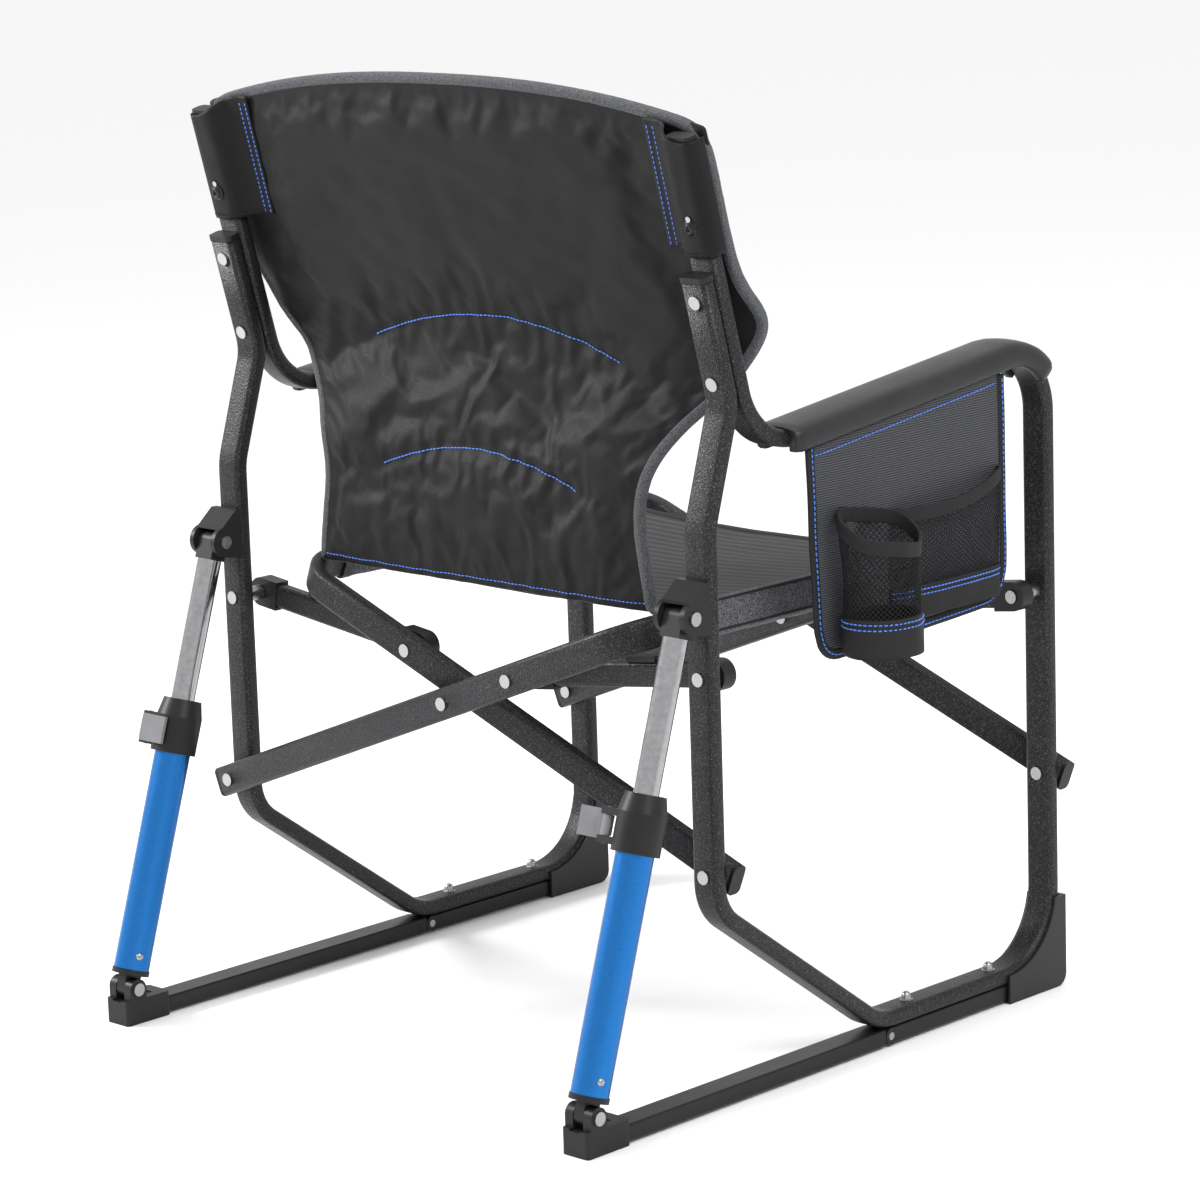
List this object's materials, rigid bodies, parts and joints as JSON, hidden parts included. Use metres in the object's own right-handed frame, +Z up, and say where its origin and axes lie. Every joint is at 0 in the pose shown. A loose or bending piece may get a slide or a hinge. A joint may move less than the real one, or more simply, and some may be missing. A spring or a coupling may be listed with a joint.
{
  "type": "camp rocking chair",
  "caption": "Folding camp chair that rocks on two floor rails with a sprung strut at each rear leg; padded sling back, mesh seat on crossed arms, and a side pocket with cup holder.",
  "frame": {"origin": "on the floor under the middle of the chair's overall box, cup pocket included", "axes": "+X to the sitter's left, +Y to the back of the chair, +Z up"},
  "size_m": [0.7166, 0.6496, 0.858],
  "materials": {
    "tube_paint": "hammered charcoal powder coat with light speckle",
    "rail_paint": "satin black",
    "black_plastic": "satin moulded plastic",
    "grey_plastic": "satin moulded plastic, dark grey",
    "lever_plastic": "grey moulded plastic",
    "zinc": "zinc plated",
    "chrome_rod": "polished",
    "spring_steel": "oiled spring steel",
    "blue_anodised": "satin blue anodised",
    "back_fabric": "padded black polyester with blue stitching",
    "seat_fabric": "dark grey ribbed mesh",
    "sleeve_fabric": "dark grey speckled knit",
    "pocket_mesh": "grey ribbed mesh with blue edge stitching"
  },
  "bodies": {
    "left_base": {"base_rail_left": "rail_paint", "rear_foot_left": "black_plastic", "foot_pin_left": "zinc"},
    "left_frame": {"side_frame_left": "tube_paint", "front_rail_left": "rail_paint", "front_shoe_left": "grey_plastic", "tube_plugs_left": "black_plastic", "armrest_left": "grey_plastic", "strut_bracket_left": "black_plastic", "frame_pins_left": "zinc", "frame_fasteners_left": "zinc", "back_sleeve_left": "back_fabric", "back_panel": "back_fabric"},
    "seat_a": {"seat_frame_a": "tube_paint", "seat_plugs_a": "black_plastic", "seat_rivets_a": "zinc", "rail_sleeve_a": "sleeve_fabric", "seat_sheet": "seat_fabric"},
    "seat_b": {"seat_frame_b": "tube_paint", "seat_plugs_b": "black_plastic", "seat_rivets_b": "zinc", "rail_sleeve_b": "sleeve_fabric"},
    "right_frame": {"side_frame_right": "tube_paint", "front_rail_right": "rail_paint", "front_shoe_right": "grey_plastic", "tube_plugs_right": "black_plastic", "armrest_right": "grey_plastic", "strut_bracket_right": "black_plastic", "frame_pins_right": "zinc", "frame_fasteners_right": "zinc", "back_sleeve_right": "back_fabric", "pocket_panel": "pocket_mesh", "cup_pocket": "pocket_mesh", "flat_pocket": "pocket_mesh"},
    "right_base": {"base_rail_right": "rail_paint", "rear_foot_right": "black_plastic", "foot_pin_right": "zinc"},
    "stay_rear_left": {"stay_rear_left": "tube_paint", "stay_ends_rear_left": "black_plastic"},
    "stay_front_left": {"stay_front_left": "tube_paint", "stay_ends_front_left": "black_plastic"},
    "stay_rear_right": {"stay_rear_right": "tube_paint", "stay_ends_rear_right": "black_plastic"},
    "stay_front_right": {"stay_front_right": "tube_paint", "stay_ends_front_right": "black_plastic"},
    "strut_left": {"strut_cylinder_left": "blue_anodised", "strut_collar_left": "black_plastic", "strut_fitting_left": "black_plastic", "strut_spring_left": "spring_steel"},
    "rod_left": {"strut_rod_left": "chrome_rod", "rod_eye_left": "black_plastic"},
    "lever_left": {"lock_lever_left": "lever_plastic"},
    "strut_right": {"strut_cylinder_right": "blue_anodised", "strut_collar_right": "black_plastic", "strut_fitting_right": "black_plastic", "strut_spring_right": "spring_steel"},
    "rod_right": {"strut_rod_right": "chrome_rod", "rod_eye_right": "black_plastic"},
    "lever_right": {"lock_lever_right": "lever_plastic"}
  },
  "joints": [
    {"name": "rock", "type": "hinge", "parent": "left_base", "child": "left_frame", "pos_m": [0.3303, -0.0642, 0.0095], "axis": [-1, 0, 0], "range_deg": [0, 9], "stiffness_Nm_per_rad": 60, "springref_deg": -11.46},
    {"name": "fold", "type": "hinge", "parent": "left_frame", "child": "seat_a", "pos_m": [0.3303, 0.0098, 0.202], "axis": [0, 1, 0], "range_deg": [0, 41], "deforming": ["seat_sheet", "back_panel"]},
    {"name": "seat_cross", "type": "hinge", "parent": "seat_a", "child": "seat_b", "pos_m": [0.0363, 0.0098, 0.31486], "axis": [0, 1, 0], "range_deg": [-82, 0]},
    {"name": "right_leg_pivot", "type": "hinge", "parent": "seat_b", "child": "right_frame", "pos_m": [-0.2577, 0.0098, 0.202], "axis": [0, 1, 0], "range_deg": [0, 41]},
    {"name": "rock_right", "type": "hinge", "parent": "right_frame", "child": "right_base", "pos_m": [-0.2577, -0.0642, 0.0095], "axis": [-1, 0, 0], "range_deg": [-9, 0]},
    {"name": "strut_swing_left", "type": "hinge", "parent": "left_base", "child": "strut_left", "pos_m": [0.3303, 0.3108, 0.0325], "axis": [-1, 0, 0], "range_deg": [0, 7.38]},
    {"name": "rod_slide_left", "type": "slide", "parent": "strut_left", "child": "rod_left", "axis": [0, -0.3108, 0.9505], "range_m": [-0.05809, 0], "deforming": ["strut_spring_left"]},
    {"name": "strut_swing_right", "type": "hinge", "parent": "right_base", "child": "strut_right", "pos_m": [-0.2577, 0.3108, 0.0325], "axis": [-1, 0, 0], "range_deg": [0, 7.38]},
    {"name": "rod_slide_right", "type": "slide", "parent": "strut_right", "child": "rod_right", "axis": [0, -0.3108, 0.9505], "range_m": [-0.05809, 0], "deforming": ["strut_spring_right"]},
    {"name": "stay_pivot_rear_left", "type": "hinge", "parent": "left_frame", "child": "stay_rear_left", "pos_m": [0.3303, 0.0098, 0.37276], "axis": [0, 1, 0], "range_deg": [0, 67.21]},
    {"name": "stay_pivot_front_left", "type": "hinge", "parent": "left_frame", "child": "stay_front_left", "pos_m": [0.3303, 0.0098, 0.37276], "axis": [0, 1, 0], "range_deg": [0, 67.21]},
    {"name": "stay_pivot_rear_right", "type": "hinge", "parent": "right_frame", "child": "stay_rear_right", "pos_m": [-0.2577, 0.0098, 0.37276], "axis": [0, 1, 0], "range_deg": [-67.21, 0]},
    {"name": "stay_pivot_front_right", "type": "hinge", "parent": "right_frame", "child": "stay_front_right", "pos_m": [-0.2577, 0.0098, 0.37276], "axis": [0, 1, 0], "range_deg": [-67.21, 0]},
    {"name": "lock_lever_left", "type": "hinge", "parent": "strut_left", "child": "lever_left", "pos_m": [0.3553, 0.24918, 0.26275], "axis": [0, -0.3108, 0.9505], "range_deg": [-170, 0]},
    {"name": "lock_lever_right", "type": "hinge", "parent": "strut_right", "child": "lever_right", "pos_m": [-0.2327, 0.24918, 0.26275], "axis": [0, -0.3108, 0.9505], "range_deg": [0, 170]}
  ],
  "couplings": [
    {"joint": "seat_cross", "follows": "fold", "ratio": -2},
    {"joint": "right_leg_pivot", "follows": "fold", "ratio": 1},
    {"joint": "stay_pivot_rear_left", "follows": "fold", "ratio": 1.638},
    {"joint": "stay_pivot_front_left", "follows": "fold", "ratio": 1.638},
    {"joint": "stay_pivot_rear_right", "follows": "fold", "ratio": -1.638},
    {"joint": "stay_pivot_front_right", "follows": "fold", "ratio": -1.638},
    {"joint": "rock_right", "follows": "rock", "ratio": -1},
    {"joint": "strut_swing_left", "follows": "rock", "ratio": 0.81731},
    {"joint": "rod_slide_left", "follows": "rock", "m_per_rad": -0.36856},
    {"joint": "strut_swing_right", "follows": "rock", "ratio": 0.81731},
    {"joint": "rod_slide_right", "follows": "rock", "m_per_rad": -0.36856}
  ]
}
